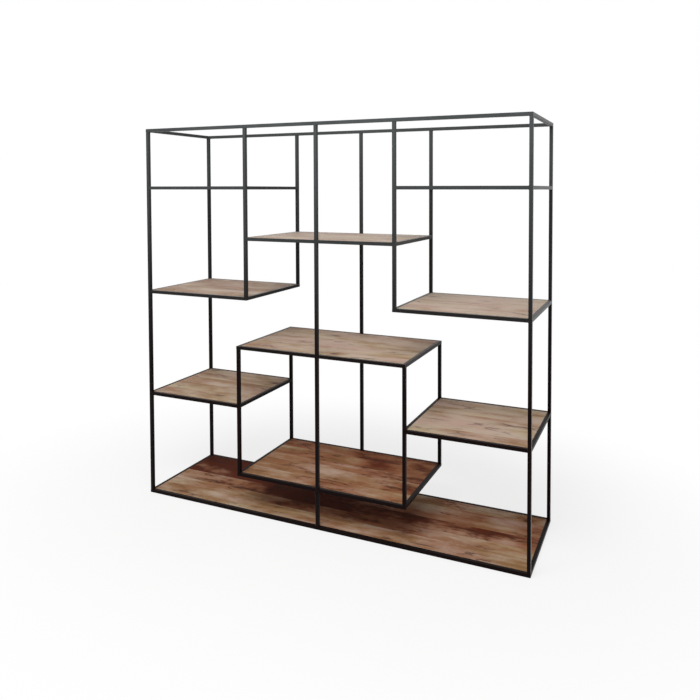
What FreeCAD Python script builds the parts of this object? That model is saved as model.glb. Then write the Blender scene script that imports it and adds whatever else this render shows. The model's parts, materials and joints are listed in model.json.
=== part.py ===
"""Storage rack: an open frame of square steel tube that carries ten inset wooden boards.

All sizes are in millimetres. The origin is on the floor, under the middle of the rack.
X runs to the right, Y to the back and Z up, so the front of the rack faces -Y.
"""
import os
import FreeCAD
import Part

# Overall footprint
rack_width = 1900.0
rack_depth = 450.0

# Square steel tube
tube_side = 15.0
tube_wall = 1.2
tube_corner_radius = 1.5

# Clear widths of the outer bays, measured from the end posts
upper_bay_width = 555.0
lower_bay_width = 510.0

# Clear heights of the outer bays, from the lowest to the highest
low_bay_height = 475.0
middle_bay_height = 490.0
high_bay_height = 495.0
top_bay_height = 265.0

# Clear heights in the middle of the rack
box_foot_height = 155.0
box_bay_height = 580.0
display_bay_height = 490.0

# Wooden boards
board_clearance = 0.5
board_edge_radius = 1.0

# Steel tabs under the boards
tab_width = 24.0
tab_reach = 16.0
tab_thickness = 3.0
tab_corner = 4.0
outer_shelf_tab_pairs = 2
middle_shelf_tab_pairs = 4
base_tab_pairs = 6

# Countersunk screws through the tabs
screw_length = 11.0
screw_shank_radius = 1.75
screw_head_radius = 3.6
screw_head_height = 1.9
screw_head_sink = 0.3
screw_tip_height = 2.5
screw_hole_spare = 0.5
cross_span = 3.6
cross_width = 0.9
cross_depth = 1.0

# One overrun for every cutting shape
overrun = 1.0

# Places along the width
left_end = -rack_width / 2
right_end = rack_width / 2
centre_post_x = -tube_side / 2
upper_left_x = left_end + tube_side + upper_bay_width
upper_right_x = right_end - tube_side - upper_bay_width - tube_side
box_left_x = left_end + tube_side + lower_bay_width
box_right_x = right_end - tube_side - lower_bay_width - tube_side

# Places along the depth
front_y = -rack_depth / 2
back_y = rack_depth / 2 - tube_side

# Upper faces of the shelves
base_top = tube_side
low_top = base_top + low_bay_height + tube_side
middle_top = low_top + middle_bay_height + tube_side
high_top = middle_top + high_bay_height + tube_side
box_floor_top = base_top + box_foot_height + tube_side
box_top = box_floor_top + box_bay_height + tube_side
centre_top = box_top + display_bay_height + tube_side

# Underside of the top ring
ring_underside = high_top + top_bay_height

# Boards fill what the tabs leave of the tube's height
board_thickness = tube_side - tab_thickness

# Each shelf: name, left and right edge, upper face, which corners are mitred, whether the
# centre posts pass through its front and back rails, and its tabs on each long rail
shelves = [
    ("base", left_end, right_end, base_top, True, True, False, base_tab_pairs),
    ("box_floor", box_left_x, box_right_x + tube_side, box_floor_top, True, True, True, middle_shelf_tab_pairs),
    ("box_top", box_left_x, box_right_x + tube_side, box_top, True, True, True, middle_shelf_tab_pairs),
    ("centre_shelf", upper_left_x, upper_right_x + tube_side, centre_top, False, False, True, middle_shelf_tab_pairs),
    ("left_low", left_end, box_left_x + tube_side, low_top, False, False, False, outer_shelf_tab_pairs),
    ("right_low", box_right_x, right_end, low_top, False, False, False, outer_shelf_tab_pairs),
    ("left_middle", left_end, upper_left_x + tube_side, middle_top, False, True, False, outer_shelf_tab_pairs),
    ("right_middle", upper_right_x, right_end, middle_top, True, False, False, outer_shelf_tab_pairs),
    ("left_high", left_end, upper_left_x + tube_side, high_top, False, False, False, outer_shelf_tab_pairs),
    ("right_high", upper_right_x, right_end, high_top, False, False, False, outer_shelf_tab_pairs),
]

# Each post: name, left edge, whether it is at the back, lower and upper end
posts = [
    ("front_left_post", left_end, False, base_top, ring_underside),
    ("front_centre_post", centre_post_x, False, base_top, ring_underside),
    ("front_right_post", right_end - tube_side, False, base_top, ring_underside),
    ("back_left_post", left_end, True, base_top, ring_underside),
    ("back_centre_post", centre_post_x, True, base_top, ring_underside),
    ("back_right_post", right_end - tube_side, True, base_top, ring_underside),
    ("upper_front_left_post", upper_left_x, False, middle_top, ring_underside),
    ("upper_front_right_post", upper_right_x, False, middle_top, ring_underside),
    ("upper_back_left_post", upper_left_x, True, middle_top, ring_underside),
    ("upper_back_right_post", upper_right_x, True, middle_top, ring_underside),
    ("box_front_left_post", box_left_x, False, box_floor_top, box_top - tube_side),
    ("box_front_right_post", box_right_x, False, box_floor_top, box_top - tube_side),
    ("box_back_left_post", box_left_x, True, box_floor_top, box_top - tube_side),
    ("box_back_right_post", box_right_x, True, box_floor_top, box_top - tube_side),
]


def vector(x, y, z):
    return FreeCAD.Vector(x, y, z)


def upright_tube(length):
    """Hollow square tube that stands on the origin, with rounded long edges."""
    outside = Part.makeBox(tube_side, tube_side, length)
    long_edges = [edge for edge in outside.Edges if edge.BoundBox.ZLength > length / 2]
    outside = outside.makeFillet(tube_corner_radius, long_edges)
    bore_side = tube_side - 2 * tube_wall
    bore = Part.makeBox(bore_side, bore_side, length + 2 * overrun, vector(tube_wall, tube_wall, -overrun))
    return outside.cut(bore)


def post(x, y, z_low, z_high):
    """Tube that stands from one height to another, with its low corner at x and y."""
    tube = upright_tube(z_high - z_low)
    tube.translate(vector(x, y, z_low))
    return tube


def rail_along_x(x_start, x_end, y, z):
    """Tube along the width, with its low corner at y and z."""
    tube = upright_tube(x_end - x_start)
    tube.rotate(vector(0, 0, 0), vector(0, 1, 0), 90)
    tube.translate(vector(x_start, y, z + tube_side))
    return tube


def rail_along_y(y_start, y_end, x, z):
    """Tube along the depth, with its low corner at x and z."""
    tube = upright_tube(y_end - y_start)
    tube.rotate(vector(0, 0, 0), vector(1, 0, 0), -90)
    tube.translate(vector(x, y_start, z + tube_side))
    return tube


def mitre_wedge(corner_x, corner_y, inward_x, inward_y, z, along_x):
    """Prism that takes the mitre off a rail at a frame's outer corner.

    inward_x and inward_y are 1 or -1 and point from the corner into the frame. along_x is
    true for the front or back rail and false for the side rail.
    """
    far = tube_side + overrun
    outer = vector(corner_x - inward_x * overrun, corner_y - inward_y * overrun, z - overrun)
    inner = vector(corner_x + inward_x * far, corner_y + inward_y * far, z - overrun)
    if along_x:
        waste = vector(corner_x - inward_x * overrun, corner_y + inward_y * far, z - overrun)
    else:
        waste = vector(corner_x + inward_x * far, corner_y - inward_y * overrun, z - overrun)
    outline = Part.makePolygon([outer, inner, waste, outer])
    return Part.Face(outline).extrude(vector(0, 0, tube_side + 2 * overrun))


def long_rails(x_left, x_right, top, left_mitred, right_mitred, split, at_back):
    """Front or back rail of a frame, in two lengths where the centre post passes through."""
    y = back_y if at_back else front_y
    corner_y = back_y + tube_side if at_back else front_y
    inward_y = -1 if at_back else 1
    z = top - tube_side
    start = x_left if left_mitred else x_left + tube_side
    end = x_right if right_mitred else x_right - tube_side
    if split:
        rails = [
            rail_along_x(start, centre_post_x, y, z),
            rail_along_x(centre_post_x + tube_side, end, y, z),
        ]
    else:
        rails = [rail_along_x(start, end, y, z)]
    if left_mitred:
        rails[0] = rails[0].cut(mitre_wedge(x_left, corner_y, 1, inward_y, z, True))
    if right_mitred:
        rails[-1] = rails[-1].cut(mitre_wedge(x_right, corner_y, -1, inward_y, z, True))
    return rails


def side_rail(x, corner_x, inward_x, top, mitred):
    """Left or right rail of a frame."""
    z = top - tube_side
    if not mitred:
        return rail_along_y(front_y + tube_side, back_y, x, z)
    rail = rail_along_y(front_y, back_y + tube_side, x, z)
    rail = rail.cut(mitre_wedge(corner_x, front_y, inward_x, 1, z, False))
    return rail.cut(mitre_wedge(corner_x, back_y + tube_side, inward_x, -1, z, False))


def screw_profile(points):
    """Turned solid from radius and height pairs."""
    corners = [vector(radius, 0, height) for radius, height in points]
    outline = Part.makePolygon(corners + [corners[0]])
    return Part.Face(outline).revolve(vector(0, 0, 0), vector(0, 0, 1), 360)


def make_screw():
    """Countersunk wood screw that points up, with a cross recess in its head."""
    head_top = screw_head_sink + screw_head_height
    tip = screw_head_sink + screw_length
    body = screw_profile([
        (0, screw_head_sink),
        (screw_head_radius, screw_head_sink),
        (screw_shank_radius, head_top),
        (screw_shank_radius, tip - screw_tip_height),
        (0, tip),
    ])
    low = screw_head_sink - overrun
    height = overrun + cross_depth
    slot = Part.makeBox(cross_span, cross_width, height, vector(-cross_span / 2, -cross_width / 2, low))
    cross_slot = Part.makeBox(cross_width, cross_span, height, vector(-cross_width / 2, -cross_span / 2, low))
    return body.cut(slot.fuse(cross_slot))


def make_screw_hole():
    """Countersunk hole that one screw fills, from the tab's underside up into the board."""
    head_top = screw_head_sink + screw_head_height
    hole_top = screw_head_sink + screw_length + screw_hole_spare
    return screw_profile([
        (0, -overrun),
        (screw_head_radius, -overrun),
        (screw_head_radius, screw_head_sink),
        (screw_shank_radius, head_top),
        (screw_shank_radius, hole_top),
        (0, hole_top),
    ])


def make_tab():
    """Flat tab with two cut corners that reaches from a tube along +Y, without its hole."""
    half = tab_width / 2
    points = [
        vector(-half, 0, 0),
        vector(half, 0, 0),
        vector(half, tab_reach - tab_corner, 0),
        vector(half - tab_corner, tab_reach, 0),
        vector(tab_corner - half, tab_reach, 0),
        vector(-half, tab_reach - tab_corner, 0),
    ]
    outline = Part.makePolygon(points + [points[0]])
    return Part.Face(outline).extrude(vector(0, 0, tab_thickness))


def tab_places(x_left, x_right, tabs_per_rail):
    """Where the tabs of one frame start, with the turn about Z that points them inward."""
    inner_left = x_left + tube_side
    inner_width = x_right - x_left - 2 * tube_side
    inner_front = front_y + tube_side
    places = []
    for number in range(tabs_per_rail):
        x = inner_left + inner_width * (2 * number + 1) / (2 * tabs_per_rail)
        places.append((x, inner_front, 0))
        places.append((x, back_y, 180))
    middle_y = (inner_front + back_y) / 2
    places.append((inner_left, middle_y, -90))
    places.append((inner_left + inner_width, middle_y, 90))
    return places


def put(shape, x, y, z, turn):
    """Copy of a shape, turned about Z and moved."""
    copy = shape.copy()
    copy.rotate(vector(0, 0, 0), vector(0, 0, 1), turn)
    copy.translate(vector(x, y, z))
    return copy


def make_board(x_left, x_right, top, holes):
    """Board that lies in a frame, flush with its tubes, with eased edges and screw holes."""
    width = x_right - x_left - 2 * tube_side - 2 * board_clearance
    depth = rack_depth - 2 * tube_side - 2 * board_clearance
    corner = vector(
        x_left + tube_side + board_clearance,
        front_y + tube_side + board_clearance,
        top - board_thickness,
    )
    board = Part.makeBox(width, depth, board_thickness, corner)
    middle = top - board_thickness / 2
    upper_edges = [edge for edge in board.Edges if edge.BoundBox.ZMin > middle]
    board = board.makeFillet(board_edge_radius, upper_edges)
    return board.cut(Part.makeCompound(holes))


def save(name, solids):
    """Write one node as a STEP file."""
    shape = solids[0] if len(solids) == 1 else Part.makeCompound(solids)
    shape.exportStep("parts/" + name + ".step")
    print(name, len(shape.Solids), shape.isValid())


def build_posts():
    for name, x, at_back, z_low, z_high in posts:
        save(name, [post(x, back_y if at_back else front_y, z_low, z_high)])


def build_top_ring():
    ring_top = ring_underside + tube_side
    save("top_front_rail", long_rails(left_end, right_end, ring_top, True, True, False, False))
    save("top_back_rail", long_rails(left_end, right_end, ring_top, True, True, False, True))
    save("top_left_rail", [side_rail(left_end, left_end, 1, ring_top, True)])
    save("top_right_rail", [side_rail(right_end - tube_side, right_end, -1, ring_top, True)])


def build_shelves():
    tab = make_tab()
    screw = make_screw()
    hole = make_screw_hole()
    tabs = []
    screws = []
    for name, x_left, x_right, top, left_mitred, right_mitred, split, tabs_per_rail in shelves:
        save(name + "_front_rail", long_rails(x_left, x_right, top, left_mitred, right_mitred, split, False))
        save(name + "_back_rail", long_rails(x_left, x_right, top, left_mitred, right_mitred, split, True))
        save(name + "_side_rails", [
            side_rail(x_left, x_left, 1, top, left_mitred),
            side_rail(x_right - tube_side, x_right, -1, top, right_mitred),
        ])
        underside = top - tube_side
        board_holes = []
        for x, y, turn in tab_places(x_left, x_right, tabs_per_rail):
            hole_offset = put(Part.Vertex(0, tab_reach / 2, 0), x, y, underside, turn).Point
            seat = put(hole, hole_offset.x, hole_offset.y, hole_offset.z, turn)
            tabs.append(put(tab, x, y, underside, turn).cut(seat))
            screws.append(put(screw, hole_offset.x, hole_offset.y, hole_offset.z, turn))
            board_holes.append(seat)
        save(name + "_board", [make_board(x_left, x_right, top, board_holes)])
    save("board_tabs", tabs)
    save("board_screws", screws)


os.makedirs("parts", exist_ok=True)
build_posts()
build_top_ring()
build_shelves()
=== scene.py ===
"""Looks of the storage rack: painted tubes, welds, glued wooden boards, fixings and a studio stage.

Everything is in metres, in the frame of the CAD model: X to the right, Y to the back, Z up,
with the origin on the floor under the middle of the rack.
"""

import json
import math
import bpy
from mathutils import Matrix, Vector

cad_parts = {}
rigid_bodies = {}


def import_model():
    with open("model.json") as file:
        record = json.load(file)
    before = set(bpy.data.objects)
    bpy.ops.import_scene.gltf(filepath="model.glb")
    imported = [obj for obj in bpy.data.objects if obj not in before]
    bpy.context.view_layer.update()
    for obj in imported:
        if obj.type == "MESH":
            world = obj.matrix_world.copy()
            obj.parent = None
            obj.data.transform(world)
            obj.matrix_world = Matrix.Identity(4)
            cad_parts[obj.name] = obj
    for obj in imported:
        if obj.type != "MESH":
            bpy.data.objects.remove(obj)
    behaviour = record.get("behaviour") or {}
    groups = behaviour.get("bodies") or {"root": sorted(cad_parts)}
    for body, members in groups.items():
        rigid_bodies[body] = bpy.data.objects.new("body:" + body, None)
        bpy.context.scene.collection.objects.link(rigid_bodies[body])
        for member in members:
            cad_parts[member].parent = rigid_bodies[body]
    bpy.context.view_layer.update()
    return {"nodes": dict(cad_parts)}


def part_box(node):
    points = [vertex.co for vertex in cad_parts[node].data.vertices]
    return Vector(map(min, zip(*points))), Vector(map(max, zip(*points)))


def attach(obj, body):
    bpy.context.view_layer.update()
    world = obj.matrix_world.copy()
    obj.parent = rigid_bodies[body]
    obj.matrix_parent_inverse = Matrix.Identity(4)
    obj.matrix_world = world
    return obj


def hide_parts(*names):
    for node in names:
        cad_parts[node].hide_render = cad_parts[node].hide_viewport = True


bl_info = {
    "name": "Storage rack",
    "version": (1, 0, 0),
    "blender": (4, 5, 0),
    "location": "3D View > Sidebar > Storage rack",
    "description": "Dresses a steel storage rack with glued wooden boards, paint, welds and a stage",
    "category": "Object",
}

import bpy
from bpy.props import FloatProperty, FloatVectorProperty, IntProperty, PointerProperty
from mathutils import Matrix, Vector

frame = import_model()

# Patch or band of a shelf that has none
NO_RED = (0.0, 0.0, 0.0)

# Each shelf's wood: how pale its front and back staves are, how much red heartwood they hold,
# and where along the shelf a red patch crosses them, how far it reaches and how red it is
SHELVES = {
    "base": (0.15, 0.22, 0.00, 0.02, NO_RED),
    "box_floor": (0.10, 0.14, 0.44, 0.76, (0.40, 0.50, 0.36)),
    "box_top": (0.36, 0.36, 0.08, 0.14, (-0.40, 0.30, 0.16)),
    "centre_shelf": (0.40, 0.40, 0.00, 0.00, NO_RED),
    "left_low": (0.28, 0.22, 0.10, 0.16, NO_RED),
    "right_low": (0.46, 0.44, 0.12, 0.20, NO_RED),
    "left_middle": (0.22, 0.18, 0.06, 0.14, NO_RED),
    "right_middle": (0.52, 0.60, 0.02, 0.02, NO_RED),
    "left_high": (0.20, 0.16, 0.00, 0.05, NO_RED),
    "right_high": (0.20, 0.16, 0.00, 0.05, NO_RED),
}

# Red band that crosses the base from its back left to its right: how far back it is at the
# middle, as a share of the depth, its slant for each metre to the right, and how red it is
BASE_BAND = (0.58, -0.22, 1.42)

# How far the band bends to the back at a metre from the middle, and how far from its middle
# line it has faded out, both as shares of the depth
BAND_BEND = 0.22
BAND_REACH = 0.66

# Places along the base between which the band gets weaker, and its strength to their right
BAND_WEAKENS = (-0.2, 0.4)
BAND_AT_RIGHT = 0.60

# Parts with weaker sheen than the higher ones: the stronger sheen up high stands in for brighter
# reflections there
LOW_BOARDS = ("base", "box_floor")
LOW_TUBES = ("base_", "box_floor_", "box_front_", "box_back_", "left_low_", "right_low_")

# Heights between which a painted highlight turns the paint greyer towards the top
PAINT_HIGHLIGHT_HEIGHTS = (0.65, 1.75)

# Settings that all colours have, and all shares from none to the whole
COLOUR = {"subtype": "COLOR", "size": 3, "min": 0.0, "max": 1.0}
SHARE = {"subtype": "FACTOR", "min": 0.0, "max": 1.0}


class BoardSettings(bpy.types.PropertyGroup):
    """Sizes and colours of the wooden boards."""

    stave_width: FloatProperty(
        name="Stave width", description="Usual width of one stave in a glued board",
        default=0.085, min=0.02, subtype="DISTANCE")
    width_spread: FloatProperty(
        name="Width spread", description="How far a glue line may stray, as a share of a stave's width",
        default=0.5, min=0.0, max=0.9, subtype="FACTOR")
    tone_spread: FloatProperty(
        name="Tone spread", description="How much the staves of one board differ",
        default=0.08, min=0.0, max=0.5, subtype="FACTOR")
    edge_radius: FloatProperty(
        name="Edge radius", description="Rounding of a board's edges",
        default=0.001, min=0.0, subtype="DISTANCE")
    ring_spacing: FloatProperty(
        name="Ring spacing", description="Distance between growth rings",
        default=0.0075, min=0.001, subtype="DISTANCE")
    grain_seed: IntProperty(
        name="Grain seed", description="Picks which cut of wood each stave gets", default=7, min=0)
    palest_wood: FloatVectorProperty(
        name="Palest wood", description="Greyish sapwood",
        default=(0.56, 0.46, 0.37), **COLOUR)
    pale_wood: FloatVectorProperty(
        name="Pale wood", description="Pale wood next to the sapwood",
        default=(0.50, 0.390, 0.297), **COLOUR)
    tan_wood: FloatVectorProperty(
        name="Tan wood", description="Warm wood between pale and brown",
        default=(0.33, 0.191, 0.100), **COLOUR)
    brown_wood: FloatVectorProperty(
        name="Brown wood", description="Olive-brown heartwood",
        default=(0.172, 0.092, 0.041), **COLOUR)
    golden_tint: FloatVectorProperty(
        name="Golden tint", description="Tint of the yellowish places",
        default=(0.98, 0.96, 0.78), **COLOUR)
    middle_tint: FloatVectorProperty(
        name="Middle tint", description="Tint between the yellowish and the pinkish places",
        default=(1.0, 0.97, 0.94), **COLOUR)
    rosy_tint: FloatVectorProperty(
        name="Rosy tint", description="Tint of the pinkish places",
        default=(1.0, 0.86, 0.88), **COLOUR)
    red_wood: FloatVectorProperty(
        name="Red wood", description="Red-brown heartwood",
        default=(0.290, 0.100, 0.047), **COLOUR)
    deep_red_wood: FloatVectorProperty(
        name="Deep red wood", description="Darkest red-brown heartwood",
        default=(0.110, 0.021, 0.007), **COLOUR)
    dark_wood: FloatVectorProperty(
        name="Dark wood", description="Darkest lines, knots and pores",
        default=(0.055, 0.022, 0.014), **COLOUR)
    # Sheen weights, stronger on the higher boards to stand in for the brighter reflections up there
    low_sheen: FloatProperty(
        name="Low dust", description="Pale veil of dust on the base and the box floor",
        default=0.15, **SHARE)
    high_sheen: FloatProperty(
        name="High dust", description="Pale veil of dust on the boards above them",
        default=0.55, **SHARE)


class FrameSettings(bpy.types.PropertyGroup):
    """Sizes and colours of the steel frame."""

    paint: FloatVectorProperty(
        name="Paint", description="Colour of the black paint",
        default=(0.0055, 0.0020, 0.0018), **COLOUR)
    # Painted highlight: the grey that the paint is mixed towards at the top, standing in for the light
    # there
    top_highlight_paint: FloatVectorProperty(
        name="Dull paint", description="Colour of the paint at the top, where it is dullest",
        default=(0.055, 0.061, 0.061), **COLOUR)
    # Sheen weights, stronger on the higher tubes to stand in for the brighter reflections up there
    low_sheen: FloatProperty(
        name="Low dust", description="Pale veil of dust on the lowest rails and the box's short posts",
        default=0.06, **SHARE)
    high_sheen: FloatProperty(
        name="High dust", description="Pale veil of dust on the rest of the frame",
        default=0.60, **SHARE)
    weld_size: FloatProperty(
        name="Weld size", description="How far a weld reaches along each of the two tubes",
        default=0.0022, min=0.0005, subtype="DISTANCE")
    weld_length: FloatProperty(
        name="Weld length", description="Length of a weld, as a share of the tube's width",
        default=0.88, min=0.1, max=1.0, subtype="FACTOR")
    weld_waves: FloatProperty(
        name="Weld waves", description="Height of the uneven places in a weld",
        default=0.0009, min=0.0, subtype="DISTANCE")
    zinc: FloatVectorProperty(
        name="Zinc", description="Colour of the screws' brightest plating",
        default=(0.62, 0.61, 0.58), **COLOUR)
    dull_zinc: FloatVectorProperty(
        name="Dull zinc", description="Colour of the screws' dullest plating",
        default=(0.42, 0.42, 0.41), **COLOUR)


class StageSettings(bpy.types.PropertyGroup):
    """Sizes, colours and light levels of the stage."""

    floor_colour: FloatVectorProperty(
        name="Floor colour", description="Colour of the floor under the rack",
        default=(0.93, 0.93, 0.93), **COLOUR)
    floor_mottle: FloatVectorProperty(
        name="Floor mottle", description="Colour of the floor's faint mottle",
        default=(0.88, 0.88, 0.88), **COLOUR)
    floor_size: FloatProperty(
        name="Floor size", description="Side of the square floor",
        default=40.0, min=5.0, subtype="DISTANCE")
    floor_white: FloatProperty(
        name="Floor white", description="Share of plain white in the floor's look at the rack",
        default=0.75, **SHARE)
    room_light: FloatProperty(
        name="Room light", description="Strength of the even light from all round",
        default=0.40, min=0.0)
    front_power: FloatProperty(
        name="Front light", description="Power of the soft box high at the front",
        default=62.0, min=0.0, subtype="POWER")
    side_power: FloatProperty(
        name="Side light", description="Power of the soft box at the left",
        default=12.0, min=0.0, subtype="POWER")
    camera_place: FloatVectorProperty(
        name="Camera place", description="Where the camera stands",
        default=(1.4244, -2.5993, 1.5056), size=3, subtype="TRANSLATION")
    camera_turn: FloatVectorProperty(
        name="Camera turn", description="Turn of the camera",
        default=(math.radians(88.12), 0.0, math.radians(21.51)), size=3, subtype="EULER")
    camera_lens: FloatProperty(
        name="Lens", description="Focal length in millimetres on a 36 mm wide sensor",
        default=32.3, min=5.0)
    camera_shift: FloatVectorProperty(
        name="Shift", description="Sideways and upward shift of the picture",
        default=(-0.0995, -0.2), size=2)


class Graph:
    """Adds nodes to a tree and links them, so that a formula reads as calls."""

    def __init__(self, tree):
        self.tree = tree

    def add(self, kind, inputs=None, **settings):
        """A new node with its settings, fed from sockets or plain values."""
        node = self.tree.nodes.new(kind)
        for name, value in settings.items():
            setattr(node, name, value)
        for key, value in (inputs or {}).items():
            if isinstance(value, bpy.types.NodeSocket):
                self.tree.links.new(value, node.inputs[key])
            else:
                node.inputs[key].default_value = value
        return node

    def maths(self, operation, *values):
        return self.add("ShaderNodeMath", dict(enumerate(values)), operation=operation).outputs[0]

    def plus(self, *values):
        total = values[0]
        for value in values[1:]:
            total = self.maths("ADD", total, value)
        return total

    def times(self, *values):
        total = values[0]
        for value in values[1:]:
            total = self.maths("MULTIPLY", total, value)
        return total

    def vector(self, x=0.0, y=0.0, z=0.0):
        return self.add("ShaderNodeCombineXYZ", {0: x, 1: y, 2: z}).outputs[0]

    def parts(self, vector):
        return self.add("ShaderNodeSeparateXYZ", {0: vector}).outputs

    def vector_maths(self, operation, *values):
        return self.add("ShaderNodeVectorMath", dict(enumerate(values)), operation=operation).outputs

    def stretch(self, vector, x, y, z):
        return self.vector_maths("MULTIPLY", vector, (x, y, z))[0]

    def move(self, vector, offset):
        return self.vector_maths("ADD", vector, offset)[0]

    def noise(self, vector, scale, detail=2.0, roughness=0.5):
        return self.add("ShaderNodeTexNoise", {
            "Vector": vector, "Scale": scale, "Detail": detail, "Roughness": roughness}).outputs["Fac"]

    def span(self, value, low, high, to_low=0.0, to_high=1.0, smooth=True):
        """Carries a value that runs from low to high over to its new range, and holds it there."""
        return self.add("ShaderNodeMapRange", {
            "Value": value, "From Min": low, "From Max": high, "To Min": to_low, "To Max": to_high,
        }, interpolation_type="SMOOTHSTEP" if smooth else "LINEAR").outputs["Result"]

    def blend(self, factor, first, second, mode="MIX"):
        """Mix of two colours."""
        first, second = (
            colour if isinstance(colour, bpy.types.NodeSocket) else (*colour, 1.0)
            for colour in (first, second))
        return self.add("ShaderNodeMix", {0: factor, 6: first, 7: second},
                        data_type="RGBA", blend_type=mode).outputs[2]

    def ramp(self, value, stops):
        """Colour that runs through (place, colour) stops."""
        node = self.add("ShaderNodeValToRGB", {0: value})
        elements = node.color_ramp.elements
        while len(elements) < len(stops):
            elements.new(0.5)
        for element, (place, colour) in zip(elements, stops):
            element.position = place
            element.color = (*colour, 1.0)
        return node.outputs["Color"]

    def own(self, name, kind="Vector"):
        """A value that the mesh carries."""
        return self.add("ShaderNodeAttribute", attribute_name=name).outputs[kind]

    def place(self):
        """Place on the object, in metres."""
        return self.add("ShaderNodeTexCoord").outputs["Object"]

    def bump(self, height, distance, strength):
        return self.add("ShaderNodeBump", {
            "Height": height, "Distance": distance, "Strength": strength}).outputs["Normal"]

    def surface(self, inputs):
        """Main shader of a material, as what the material shows."""
        shader = self.add("ShaderNodeBsdfPrincipled", inputs)
        self.add("ShaderNodeOutputMaterial", {"Surface": shader.outputs[0]})


def new_material(name):
    """An empty node material and its graph."""
    material = bpy.data.materials.new(name)
    material.use_nodes = True
    material.node_tree.nodes.clear()
    return material, Graph(material.node_tree)


def grain(graph, spot, squeeze, scale, detail, roughness=0.5):
    """Noise about zero, drawn out along the board: the smaller the squeeze, the longer it runs."""
    drawn_out = graph.stretch(spot, squeeze, 1.0, 1.0)
    return graph.plus(graph.noise(drawn_out, scale, detail, roughness), -0.5)


def red_heartwood(graph, along):
    """How red the wood is: by its stave, by the shelf's patch and by the base's band."""
    patch_place, patch_reach, patch_red = graph.parts(graph.own("heart_patch"))
    from_patch = graph.maths("ABSOLUTE", graph.plus(along, graph.times(patch_place, -1.0)))
    patch = graph.span(from_patch, patch_reach, graph.times(patch_reach, 0.4))
    band_place, band_slant, band_red = graph.parts(graph.own("heart_band"))
    from_band = graph.maths("ABSOLUTE", graph.plus(
        band_place, graph.times(along, band_slant), graph.times(along, along, BAND_BEND)))
    band = graph.times(
        graph.span(from_band, BAND_REACH, 0.0), graph.span(along, *BAND_WEAKENS, 1.0, BAND_AT_RIGHT))
    return graph.plus(
        graph.own("heartwood", "Fac"), graph.times(patch, patch_red), graph.times(band, band_red))


def knots(graph, spot):
    """How near the wood is to a knot, and the knots, which only a few cells hold."""
    cell = graph.add("ShaderNodeTexVoronoi", {
        "Vector": graph.stretch(spot, 0.45, 1.0, 0.0), "Scale": 6.0, "Randomness": 1.0}).outputs
    chosen = graph.span(graph.parts(cell["Color"])[0], 0.66, 0.70)
    near = graph.times(graph.span(cell["Distance"], 0.36, 0.0), chosen)
    knot = graph.times(graph.span(cell["Distance"], 0.085, 0.02), chosen)
    return near, knot


def growth_rings(graph, spot, below, near_knot, spacing):
    """Distance from the stave's heart, and the dark late wood of each ring.

    The heart lies below the board's face, and the rings wander and flow round a knot.
    """
    side = graph.plus(graph.parts(spot)[1], graph.times(grain(graph, spot, 0.16, 5.0, 2.0), 0.075))
    radius = graph.maths("SQRT", graph.plus(graph.times(side, side), graph.times(below, below)))
    ripple = grain(graph, spot, 0.16, 32.0, 3.0)
    radius = graph.plus(radius, graph.times(ripple, 0.006), graph.times(near_knot, 0.03))
    ring = graph.maths("FRACT", graph.maths("DIVIDE", radius, spacing))
    late = graph.times(graph.span(ring, 0.15, 0.86), graph.span(ring, 1.0, 0.90))
    return radius, late


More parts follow.
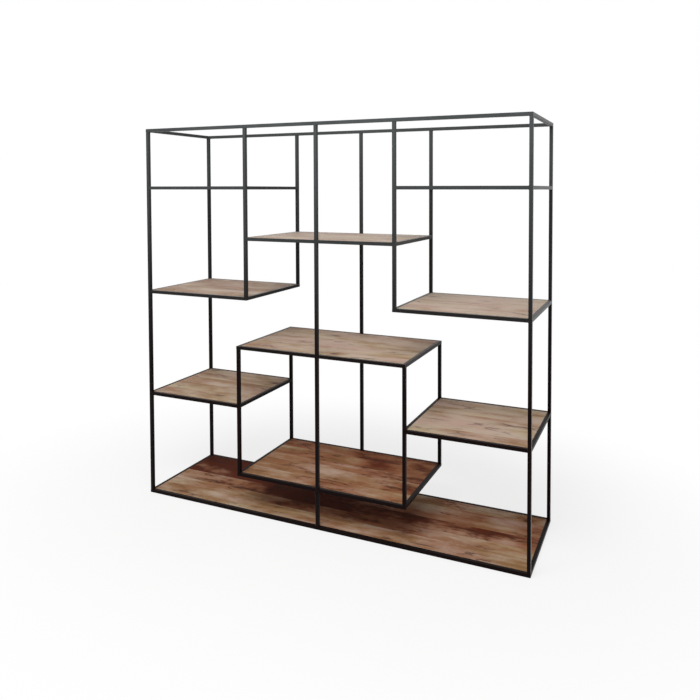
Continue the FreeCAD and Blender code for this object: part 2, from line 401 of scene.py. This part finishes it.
def wood_material(name, sizes, sheen):
    """Oiled hardwood: rings round each stave's own heart, streaks, knots, fibres and pores."""
    material, graph = new_material(name)
    place = graph.place()
    along = graph.parts(place)[0]
    spot = graph.move(place, graph.own("grain_shift"))
    x, _, z = graph.parts(spot)
    depth, slope, tone = graph.parts(graph.own("grain_cut"))
    below = graph.plus(z, depth, graph.times(along, slope))
    near_knot, knot = knots(graph, spot)
    radius, late = growth_rings(graph, spot, below, near_knot, sizes.ring_spacing)
    fibre = graph.plus(graph.noise(graph.stretch(spot, 7.0, 330.0, 330.0), 1.0, 3.0, 0.6), -0.5)

    # Broad tone, with zones that follow the rings
    cloud = grain(graph, spot, 0.40, 11.0, 5.0, 0.60)
    zone_spot = graph.vector(graph.times(radius, 30.0), graph.times(x, 1.2))
    zone = graph.plus(graph.noise(zone_spot, 1.0), -0.5)
    value = graph.plus(
        0.5, graph.times(cloud, 2.0), graph.times(zone, 0.9), tone, graph.times(late, -0.12),
        graph.times(fibre, 0.35), graph.times(near_knot, -0.16))
    colour = graph.ramp(graph.times(value, 0.7), [
        (0.08, sizes.brown_wood), (0.35, sizes.tan_wood),
        (0.62, sizes.pale_wood), (0.90, sizes.palest_wood)])
    hue = graph.noise(graph.stretch(spot, 0.40, 1.0, 1.0), 6.0, 3.0, 0.6)
    colour = graph.blend(1.0, colour, graph.ramp(hue, [
        (0.34, sizes.golden_tint), (0.50, sizes.middle_tint), (0.66, sizes.rosy_tint)]), "MULTIPLY")

    # Red heartwood in streaks
    heartwood = red_heartwood(graph, along)
    streak = grain(graph, spot, 0.42, 8.5, 6.0, 0.60)
    red = graph.span(graph.plus(graph.times(streak, 2.1), heartwood), 0.15, 1.15)
    colour = graph.blend(graph.times(red, 0.99), colour, graph.ramp(red, [
        (0.70, sizes.red_wood), (1.0, sizes.deep_red_wood)]))

    # Dark lines that wind along the grain near the heartwood, knots and pores
    vein = graph.maths("ABSOLUTE", grain(graph, spot, 0.20, 14.0, 4.0, 0.55))
    line = graph.times(
        graph.span(vein, 0.030, 0.0),
        graph.span(graph.plus(streak, graph.times(heartwood, 0.12)), 0.0, 0.14))
    pore = graph.span(graph.noise(graph.stretch(spot, 90.0, 1500.0, 1500.0), 1.0, 1.0), 0.62, 0.70)
    for mark, strength in ((line, 0.75), (knot, 0.9), (pore, 0.35)):
        colour = graph.blend(graph.times(mark, strength), colour, sizes.dark_wood)

    height = graph.plus(
        graph.times(late, 0.25), graph.times(fibre, 0.5), graph.times(pore, -0.8),
        graph.times(knot, -0.6))
    graph.surface({
        "Base Color": colour,
        "Roughness": graph.plus(0.44, graph.times(fibre, 0.12), graph.times(pore, 0.15)),
        "Specular IOR Level": 0.005,
        "Sheen Weight": sheen,
        "Sheen Roughness": 0.30,
        "Normal": graph.bump(height, 0.00025, 0.7),
    })
    return material


def paint_material(name, sizes, sheen):
    """Satin black paint on steel, with a fine skin and fine specks, greyer towards the top and in
    patches as a painted highlight.
    """
    material, graph = new_material(name)
    place = graph.place()
    # Painted highlight: the paint greys with height, in patches, for the light on the upper frame; the
    # specks are the paint's own
    highlight_by_height = graph.span(graph.parts(place)[2], *PAINT_HIGHLIGHT_HEIGHTS)
    patch = graph.span(graph.noise(place, 3.2, 5.0, 0.62), 0.42, 0.74)
    speck = graph.span(graph.noise(place, 260.0, 2.0, 0.6), 0.60, 0.78)
    highlight_and_specks = graph.plus(
        graph.times(highlight_by_height, graph.plus(0.85, graph.times(patch, 0.25))), graph.times(speck, 0.08))
    graph.surface({
        "Base Color": graph.blend(highlight_and_specks, sizes.paint, sizes.top_highlight_paint),
        "Roughness": graph.plus(0.40, graph.times(highlight_and_specks, 0.20)),
        "Specular IOR Level": 0.04,
        "Sheen Weight": sheen,
        "Sheen Roughness": 0.30,
        "Normal": graph.bump(graph.noise(place, 900.0), 0.00006, 0.8),
    })
    return material


def screw_material(sizes):
    """Zinc-plated steel with fine mottling."""
    material, graph = new_material("zinc_screws")
    mottle = graph.noise(graph.place(), 700.0, 3.0, 0.6)
    graph.surface({
        "Base Color": graph.blend(mottle, sizes.dull_zinc, sizes.zinc),
        "Roughness": graph.plus(0.26, graph.times(mottle, 0.22)),
        "Metallic": 1.0,
        "Normal": graph.bump(mottle, 0.00003, 0.6),
    })
    return material


def geometry_tree(name, inputs):
    """A geometry node tree with named inputs and one mesh output."""
    tree = bpy.data.node_groups.new(name, "GeometryNodeTree")
    for label, kind in inputs.items():
        tree.interface.new_socket(label, in_out="INPUT", socket_type="NodeSocket" + kind)
    tree.interface.new_socket("Mesh", in_out="OUTPUT", socket_type="NodeSocketGeometry")
    return tree, Graph(tree)


def end_tree(graph, mesh, material):
    """Make what a geometry tree holds real, give it its material and put it out."""
    mesh = graph.add("GeometryNodeRealizeInstances", {0: mesh}).outputs[0]
    mesh = graph.add("GeometryNodeSetMaterial", {"Geometry": mesh, "Material": material}).outputs[0]
    graph.add("NodeGroupOutput", {"Mesh": mesh})


def made_by(tree, name, values, source=None):
    """Plain mesh object that a geometry tree makes from the given input values."""
    collection = bpy.context.scene.collection.objects
    maker = bpy.data.objects.new(name + "_maker", source or bpy.data.meshes.new(name + "_maker"))
    collection.link(maker)
    modifier = maker.modifiers.new("Geometry", "NODES")
    modifier.node_group = tree
    for socket in tree.interface.items_tree:
        if socket.in_out == "INPUT" and socket.name in values:
            modifier[socket.identifier] = values[socket.name]
    depsgraph = bpy.context.evaluated_depsgraph_get()
    mesh = bpy.data.meshes.new_from_object(maker.evaluated_get(depsgraph), depsgraph=depsgraph)
    bpy.data.objects.remove(maker)
    mesh.name = name
    piece = bpy.data.objects.new(name, mesh)
    collection.link(piece)
    return piece


def board_tree():
    """Board glued from staves: each stave carries its own cut of the wood."""
    tree, graph = geometry_tree("Glued board", {
        "Low corner": "Vector", "Size": "Vector", "Staves": "Int", "Width spread": "Float",
        "Seed": "Int", "Front tone": "Float", "Back tone": "Float", "Front heartwood": "Float",
        "Back heartwood": "Float", "Heart patch": "Vector", "Heart band": "Vector",
        "Tone spread": "Float", "Material": "Material"})
    given = graph.add("NodeGroupInput").outputs
    staves, seed = given["Staves"], given["Seed"]
    block = graph.add("GeometryNodeMeshCube", {
        "Vertices X": 2, "Vertices Y": graph.plus(staves, 1.0), "Vertices Z": 2}).outputs["Mesh"]
    position = graph.add("GeometryNodeInputPosition").outputs[0]
    x, y, z = graph.parts(graph.move(position, (0.5, 0.5, 0.5)))
    across = graph.times(y, staves)

    # Which stave a face is in, and a number for it that no other board's stave has
    stave = graph.maths("MINIMUM", graph.maths("FLOOR", across), graph.plus(staves, -1.0))
    number = graph.plus(stave, graph.times(seed, 37.0))
    back_share = graph.maths("DIVIDE", graph.plus(stave, 0.5), staves)

    def drawn(low, high, salt):
        """Vector that is drawn once for each stave."""
        return graph.add("FunctionNodeRandomValue", {
            0: low, 1: high, "ID": number, "Seed": salt}, data_type="FLOAT_VECTOR").outputs[0]

    def by_stave(share, front, back, draw):
        """Value that runs from the front stave to the back one, and differs a little by draw."""
        even = graph.span(share, 0.0, 1.0, given[front], given[back], smooth=False)
        return graph.plus(even, graph.times(draw, given["Tone spread"]))

    # The grain is centred on each stave's upper face and then moved, so each has its own cut
    _, depth, thickness = graph.parts(given["Size"])
    _, front, low = graph.parts(given["Low corner"])
    middle = graph.plus(front, graph.times(y, depth))
    home = graph.vector(0.0, graph.times(middle, -1.0), graph.times(graph.plus(low, thickness), -1.0))
    shift = graph.move(home, drawn((-9.0, -0.10, 0.0), (9.0, 0.10, 0.0), 3))
    cut = drawn((0.012, -0.05, -1.0), (0.10, 0.05, 1.0), 11)
    heart_depth, heart_slope, tone_draw = graph.parts(cut)
    red_draw = graph.parts(drawn((-1.0, 0.0, 0.0), (1.0, 0.0, 0.0), 5))[0]
    tone = by_stave(back_share, "Front tone", "Back tone", tone_draw)
    to_back = graph.maths("POWER", back_share, 3.2)
    heartwood = by_stave(to_back, "Front heartwood", "Back heartwood", red_draw)

    # The patch is stronger on the staves at the back, and the band is where its stave says
    patch_place, patch_reach, patch_red = graph.parts(given["Heart patch"])
    patch_red = graph.times(patch_red, graph.span(back_share, -0.7, 0.6))
    band_place, band_slant, band_red = graph.parts(given["Heart band"])
    band_place = graph.plus(band_place, graph.times(back_share, -1.0))
    for name, kind, value in (
            ("grain_shift", "FLOAT_VECTOR", shift),
            ("grain_cut", "FLOAT_VECTOR", graph.vector(heart_depth, heart_slope, tone)),
            ("heartwood", "FLOAT", heartwood),
            ("heart_patch", "FLOAT_VECTOR", graph.vector(patch_place, patch_reach, patch_red)),
            ("heart_band", "FLOAT_VECTOR", graph.vector(band_place, band_slant, band_red))):
        block = graph.add("GeometryNodeStoreNamedAttribute", {
            "Geometry": block, "Name": name, "Value": value}, data_type=kind, domain="FACE").outputs[0]

    # Glue lines stray from even places, but the outer edges stay
    line = graph.maths("ROUND", across)
    inner = graph.times(
        graph.maths("GREATER_THAN", line, 0.5),
        graph.maths("LESS_THAN", line, graph.plus(staves, -0.5)))
    stray = graph.add("FunctionNodeRandomValue", {
        2: -0.5, 3: 0.5, "ID": line, "Seed": seed}, data_type="FLOAT").outputs[1]
    across = graph.plus(line, graph.times(stray, given["Width spread"], inner))
    corner = graph.vector(x, graph.maths("DIVIDE", across, staves), z)
    placed = graph.vector_maths("MULTIPLY_ADD", corner, given["Size"], given["Low corner"])[0]
    block = graph.add("GeometryNodeSetPosition", {"Geometry": block, "Position": placed}).outputs[0]
    end_tree(graph, block, given["Material"])
    return tree


class RACK_OT_make_boards(bpy.types.Operator):
    """Make the ten glued wooden boards"""

    bl_idname = "rack.make_boards"
    bl_label = "Make boards"

    def execute(self, context):
        sizes = context.scene.rack_boards
        # Two copies of the wood that differ only in sheen, stronger on the higher boards as a stand-in
        # for brighter reflections
        low_wood = wood_material("oiled_wood", sizes, sizes.low_sheen)
        high_wood = wood_material("high_sheen_wood", sizes, sizes.high_sheen)
        tree = board_tree()
        for number, (shelf, wood) in enumerate(SHELVES.items()):
            front_tone, back_tone, front_red, back_red, patch = wood
            low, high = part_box(shelf + "_board")
            size = high - low
            board = made_by(tree, shelf + "_glued_board", {
                "Low corner": low, "Size": size, "Staves": round(size.y / sizes.stave_width),
                "Width spread": sizes.width_spread, "Seed": sizes.grain_seed + number,
                "Front tone": front_tone, "Back tone": back_tone, "Front heartwood": front_red,
                "Back heartwood": back_red, "Heart patch": patch, "Tone spread": sizes.tone_spread,
                "Heart band": BASE_BAND if shelf == "base" else NO_RED,
                "Material": low_wood if shelf in LOW_BOARDS else high_wood})
            board.data.shade_smooth()
            rounding = board.modifiers.new("Eased edges", "BEVEL")
            rounding.width = sizes.edge_radius
            rounding.segments = 3
            rounding.limit_method = "ANGLE"
            rounding.harden_normals = True
            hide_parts(shelf + "_board")
            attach(board, "root")
        return {"FINISHED"}


def finish_nodes(names, material):
    """Give CAD nodes a better material."""
    for name in names:
        for slot in frame["nodes"][name].material_slots:
            slot.material = material


class RACK_OT_paint_frame(bpy.types.Operator):
    """Paint the posts and rails black"""

    bl_idname = "rack.paint_frame"
    bl_label = "Paint frame"

    def execute(self, context):
        sizes = context.scene.rack_frame
        tubes = [name for name in frame["nodes"] if name.endswith(("_post", "_rail", "_rails"))]
        low_tubes = [name for name in tubes if name.startswith(LOW_TUBES)]
        # Two copies of the paint that differ only in sheen, stronger on the higher tubes as a stand-in
        # for brighter reflections
        finish_nodes(tubes, paint_material("high_sheen_paint", sizes, sizes.high_sheen))
        finish_nodes(low_tubes, paint_material("black_paint", sizes, sizes.low_sheen))
        return {"FINISHED"}


def sides_met(post_box, frame_box):
    """Ways in which the rails of a shelf's frame lead away from a post."""
    near = 0.001
    (low, high), (frame_low, frame_high) = post_box, frame_box
    ways = []
    if low.x > frame_low.x + near:
        ways.append(Vector((-1.0, 0.0, 0.0)))
    if high.x < frame_high.x - near:
        ways.append(Vector((1.0, 0.0, 0.0)))
    # At the end of a frame, a side rail starts too
    if len(ways) == 1:
        ways.append(Vector((0.0, -1.0 if low.y + high.y > 0 else 1.0, 0.0)))
    return ways


def levels_met(post_box, frame_box):
    """Heights of the corners between a post and a frame, each with the way along the post."""
    near = 0.001
    (low, high), (frame_low, frame_high) = post_box, frame_box
    if low.z < frame_low.z - near and high.z > frame_high.z + near:
        return [(frame_low.z, -1.0), (frame_high.z, 1.0)]
    if abs(low.z - frame_high.z) < near:
        return [(low.z, 1.0)]
    if abs(high.z - frame_low.z) < near:
        return [(high.z, -1.0)]
    return []


def weld_seams():
    """Middle and turn of each inner corner where one tube ends on another's face."""
    frames = [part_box(shelf + "_side_rails") for shelf in SHELVES]
    frames.append((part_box("top_left_rail")[0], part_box("top_right_rail")[1]))
    seams = []
    for name in frame["nodes"]:
        if not name.endswith("_post"):
            continue
        low, high = post_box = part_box(name)
        middle = (low + high) / 2
        for frame_box in frames:
            if not frame_box[0].x <= middle.x <= frame_box[1].x:
                continue
            for level, up in levels_met(post_box, frame_box):
                for away in sides_met(post_box, frame_box):
                    corner = middle + away * (high.x - low.x) / 2
                    corner.z = level
                    along = Vector((0.0, 0.0, up))
                    turn = Matrix((away.cross(along), away, along)).transposed().to_euler()
                    seams.append((corner, turn))
    return seams


def weld_tree():
    """Small weld in each seam: a rounded bead that thins at its ends and is a little uneven."""
    tree, graph = geometry_tree("Welds", {
        "Seams": "Geometry", "Length": "Float", "Reach": "Float", "Sunk": "Float", "Waves": "Float",
        "Material": "Material"})
    given = graph.add("NodeGroupInput").outputs
    bead = graph.add("GeometryNodeMeshCylinder", {
        "Vertices": 8, "Side Segments": 6, "Fill Segments": 1, "Radius": 1.0, "Depth": 1.0,
    }).outputs["Mesh"]

    # The bead runs along X from -0.5 to 0.5 of its length, and its ends thin to a quarter
    x, y, z = graph.parts(graph.add("GeometryNodeInputPosition").outputs[0])
    to_end = graph.maths("POWER", graph.maths("ABSOLUTE", graph.times(z, 2.0)), 4.0)
    reach = graph.times(given["Reach"], graph.plus(1.0, graph.times(to_end, -0.75)))
    sunk = graph.times(given["Sunk"], -1.0)
    section = [graph.maths("MAXIMUM", graph.times(way, reach), sunk) for way in (x, y)]
    placed = graph.vector(graph.times(z, given["Length"]), *section)
    bead = graph.add("GeometryNodeSetPosition", {"Geometry": bead, "Position": placed}).outputs[0]

    turn = graph.add("GeometryNodeInputNamedAttribute", {"Name": "turn"}, data_type="FLOAT_VECTOR")
    turn = graph.add("FunctionNodeEulerToRotation", {0: turn.outputs[0]}).outputs[0]
    welds = graph.add("GeometryNodeInstanceOnPoints", {
        "Points": given["Seams"], "Instance": bead, "Rotation": turn}).outputs[0]
    welds = graph.add("GeometryNodeRealizeInstances", {0: welds}).outputs[0]

    # The waves run through the whole frame, so no two welds are alike
    position = graph.add("GeometryNodeInputPosition").outputs[0]
    wave = graph.times(graph.plus(graph.noise(position, 420.0), -0.5), given["Waves"])
    outward = graph.add("GeometryNodeInputNormal").outputs[0]
    push = graph.add("ShaderNodeVectorMath", {0: outward, 3: wave}, operation="SCALE").outputs[0]
    welds = graph.add("GeometryNodeSetPosition", {"Geometry": welds, "Offset": push}).outputs[0]
    end_tree(graph, welds, given["Material"])
    return tree


class RACK_OT_weld_frame(bpy.types.Operator):
    """Lay the small welds in the corners where tubes meet"""

    bl_idname = "rack.weld_frame"
    bl_label = "Weld frame"

    def execute(self, context):
        sizes = context.scene.rack_frame
        seams = weld_seams()
        source = bpy.data.meshes.new("seams")
        source.from_pydata([corner for corner, _ in seams], [], [])
        turns = source.attributes.new("turn", "FLOAT_VECTOR", "POINT")
        turns.data.foreach_set("vector", [angle for _, turn in seams for angle in turn])
        low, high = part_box("front_left_post")
        welds = made_by(weld_tree(), "frame_welds", {
            "Length": (high.x - low.x) * sizes.weld_length, "Reach": sizes.weld_size,
            "Sunk": sizes.weld_size * 0.2, "Waves": sizes.weld_waves,
            "Material": bpy.data.materials["black_paint"]}, source)
        welds.data.shade_smooth()
        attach(welds, "root")
        return {"FINISHED"}


class RACK_OT_finish_fixings(bpy.types.Operator):
    """Paint the tabs and plate the screws under the boards"""

    bl_idname = "rack.finish_fixings"
    bl_label = "Finish tabs and screws"

    def execute(self, context):
        finish_nodes(["board_tabs"], bpy.data.materials["black_paint"])
        finish_nodes(["board_screws"], screw_material(context.scene.rack_frame))
        return {"FINISHED"}


def only_seen(graph, lit, seen):
    """Shader that is one thing as a light, and another to the camera and in reflections."""
    path = graph.add("ShaderNodeLightPath").outputs
    looks = graph.maths("MINIMUM", graph.plus(
        path["Is Camera Ray"], path["Is Glossy Ray"], path["Is Transmission Ray"]), 1.0)
    return graph.add("ShaderNodeMixShader", {0: looks, 1: lit, 2: seen}).outputs[0]


def floor_material(sizes):
    """Pale floor that takes the rack's shadow and fades to white away from the rack."""
    material, graph = new_material("floor")
    place = graph.place()
    mottle = graph.times(graph.noise(place, 2.0, 3.0), 0.15)
    lit = graph.add("ShaderNodeBsdfPrincipled", {
        "Base Color": graph.blend(mottle, sizes.floor_colour, sizes.floor_mottle),
        "Roughness": 0.9, "Specular IOR Level": 0.0}).outputs[0]
    away = graph.vector_maths("LENGTH", graph.stretch(place, 0.7, 1.0, 1.0))["Value"]
    white = graph.add("ShaderNodeEmission").outputs[0]
    faded = graph.add("ShaderNodeMixShader", {
        0: graph.span(away, 0.6, 1.6, sizes.floor_white, 1.0), 1: lit, 2: white}).outputs[0]
    graph.add("ShaderNodeOutputMaterial", {"Surface": only_seen(graph, lit, faded)})
    return material


def make_floor(scene, sizes):
    """Square floor under the rack."""
    half = sizes.floor_size / 2
    mesh = bpy.data.meshes.new("floor")
    corners = [(-half, -half, 0), (half, -half, 0), (half, half, 0), (-half, half, 0)]
    mesh.from_pydata(corners, [], [(0, 1, 2, 3)])
    mesh.materials.append(floor_material(sizes))
    floor = bpy.data.objects.new("floor", mesh)
    scene.collection.objects.link(floor)


def make_surroundings(scene, sizes):
    """White surroundings, whose light on the rack is set apart from their look."""
    world = bpy.data.worlds.new("surroundings")
    world.use_nodes = True
    world.node_tree.nodes.clear()
    scene.world = world
    graph = Graph(world.node_tree)
    light, seen = (
        graph.add("ShaderNodeBackground", {
            "Color": (1.0, 1.0, 1.0, 1.0), "Strength": strength}).outputs[0]
        for strength in (sizes.room_light, 1.0))
    graph.add("ShaderNodeOutputWorld", {"Surface": only_seen(graph, light, seen)})


def area_light(scene, name, place, target, width, depth, power):
    """Soft box that stands at a place and faces a target."""
    data = bpy.data.lights.new(name, "AREA")
    data.shape = "RECTANGLE"
    data.size = width
    data.size_y = depth
    data.energy = power
    light = bpy.data.objects.new(name, data)
    light.location = place
    light.rotation_euler = (Vector(target) - Vector(place)).to_track_quat("-Z", "Y").to_euler()
    scene.collection.objects.link(light)


def make_camera(scene, sizes):
    """Camera that frames the rack as the photo does."""
    lens = bpy.data.cameras.new("camera")
    lens.sensor_width = 36.0
    lens.lens = sizes.camera_lens
    lens.shift_x, lens.shift_y = sizes.camera_shift
    camera = bpy.data.objects.new("camera", lens)
    camera.location = sizes.camera_place
    camera.rotation_euler = sizes.camera_turn
    scene.collection.objects.link(camera)
    scene.camera = camera
    scene.view_settings.view_transform = "Standard"


class RACK_OT_make_stage(bpy.types.Operator):
    """Make the floor, the surroundings, the lights and the camera"""

    bl_idname = "rack.make_stage"
    bl_label = "Make stage"

    def execute(self, context):
        scene = context.scene
        sizes = scene.rack_stage
        make_floor(scene, sizes)
        make_surroundings(scene, sizes)
        area_light(
            scene, "front_light", place=(0.2, -1.8, 2.9), target=(0.0, 0.0, 0.8),
            width=2.6, depth=1.0, power=sizes.front_power)
        area_light(
            scene, "side_light", place=(-2.6, -2.2, 2.0), target=(0.0, 0.0, 0.9),
            width=1.6, depth=1.6, power=sizes.side_power)
        make_camera(scene, sizes)
        return {"FINISHED"}


STEPS = [
    RACK_OT_make_boards, RACK_OT_paint_frame, RACK_OT_weld_frame, RACK_OT_finish_fixings,
    RACK_OT_make_stage]


class RACK_PT_storage_rack(bpy.types.Panel):
    """Steps that dress the storage rack"""

    bl_idname = "RACK_PT_storage_rack"
    bl_label = "Storage rack"
    bl_space_type = "VIEW_3D"
    bl_region_type = "UI"
    bl_category = "Storage rack"

    def draw(self, context):
        for name, settings in SETTINGS.items():
            box = self.layout.box()
            for setting in settings.__annotations__:
                box.prop(getattr(context.scene, name), setting)
        for step in STEPS:
            self.layout.operator(step.bl_idname)


SETTINGS = {"rack_boards": BoardSettings, "rack_frame": FrameSettings, "rack_stage": StageSettings}
CLASSES = [*SETTINGS.values(), *STEPS, RACK_PT_storage_rack]


def register():
    for cls in CLASSES:
        bpy.utils.register_class(cls)
    for name, cls in SETTINGS.items():
        setattr(bpy.types.Scene, name, PointerProperty(type=cls))


def unregister():
    for name in SETTINGS:
        delattr(bpy.types.Scene, name)
    for cls in reversed(CLASSES):
        bpy.utils.unregister_class(cls)


def main():
    register()
    bpy.ops.rack.make_boards()
    bpy.ops.rack.paint_frame()
    bpy.ops.rack.weld_frame()
    bpy.ops.rack.finish_fixings()
    bpy.ops.rack.make_stage()


if __name__ == "__main__":
    main()
